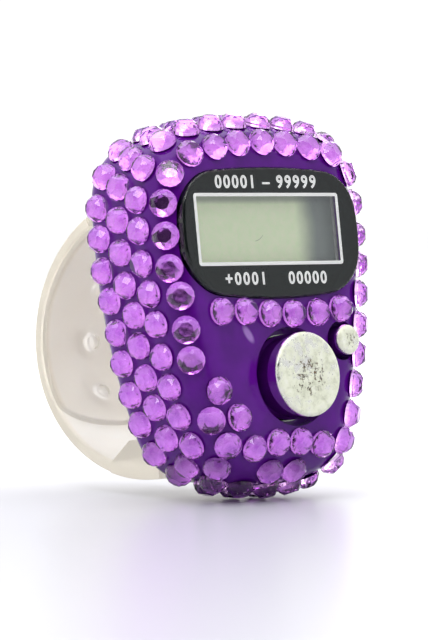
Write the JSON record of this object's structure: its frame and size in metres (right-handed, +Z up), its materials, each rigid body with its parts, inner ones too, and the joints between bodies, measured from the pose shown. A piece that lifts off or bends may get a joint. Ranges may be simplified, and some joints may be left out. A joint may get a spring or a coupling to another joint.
{
  "type": "tally counter",
  "caption": "Finger-ring electronic tally counter: crystal-covered case with LCD window, count and reset buttons, and a soft strap buttoned into a ring.",
  "frame": {"origin": "on the table, under the middle of the whole object's footprint box", "axes": "+Z up, -Y the way the display faces, +X to the right as the user reads the display; the case leans back 8 degrees as it stands"},
  "size_m": [0.0314, 0.038, 0.0418],
  "materials": {
    "purple_plastic": "glossy dyed plastic",
    "crystal_acrylic": "faceted dyed acrylic with a foil back",
    "window_acrylic": "clear acrylic printed from behind",
    "plated_cap": "worn chrome plating",
    "strap_silicone": "milky translucent soft plastic",
    "inner_plastic": "moulded white plastic",
    "lcd": "polarised grey-green glass",
    "reflector": "satin film",
    "contact_rubber": "banded conductive rubber",
    "board": "green solder mask on glass fibre",
    "resin": "black potting resin",
    "chip_part": "ceramic with tinned ends",
    "cell_steel": "plated steel can",
    "contact_metal": "plated spring brass",
    "dome_silicone": "soft silicone",
    "screw_steel": "zinc-plated steel"
  },
  "bodies": {
    "case": {"front_shell": "purple_plastic", "rear_shell": "purple_plastic", "display_window": "window_acrylic", "display_cradle": "inner_plastic", "lcd_glass": "lcd", "lcd_reflector": "reflector", "contact_strips": "contact_rubber", "circuit_board": "board", "chip_blob": "resin", "chip_parts": "chip_part", "button_cell": "cell_steel", "negative_contact": "contact_metal", "positive_contact": "contact_metal", "count_dome": "dome_silicone", "reset_dome": "dome_silicone", "case_screws": "screw_steel", "board_screws": "screw_steel", "strap_holed": "strap_silicone", "strap_knobbed": "strap_silicone", "crystals_face": "crystal_acrylic", "crystals_front_edge": "crystal_acrylic", "crystals_top": "crystal_acrylic", "crystals_bottom": "crystal_acrylic", "crystals_left": "crystal_acrylic", "crystals_right": "crystal_acrylic"},
    "count_button": {"count_button": "plated_cap"},
    "reset_button": {"reset_button": "plated_cap"},
    "battery_door": {"battery_door": "purple_plastic", "door_screw": "screw_steel"}
  },
  "joints": [
    {"name": "count_press", "type": "slide", "parent": "case", "child": "count_button", "axis": [0, 0.9903, -0.1392], "range_m": [0, 0.0009], "stiffness_N_per_m": 300, "springref_m": -0.002, "deforming": ["count_dome"]},
    {"name": "reset_press", "type": "slide", "parent": "case", "child": "reset_button", "axis": [0, 0.9903, -0.1392], "range_m": [0, 0.0007], "stiffness_N_per_m": 400, "springref_m": -0.0015, "deforming": ["reset_dome"]},
    {"name": "battery_door_off", "type": "slide", "parent": "case", "child": "battery_door", "axis": [0, 0.9903, -0.1392], "range_m": [0, 0.009]}
  ]
}
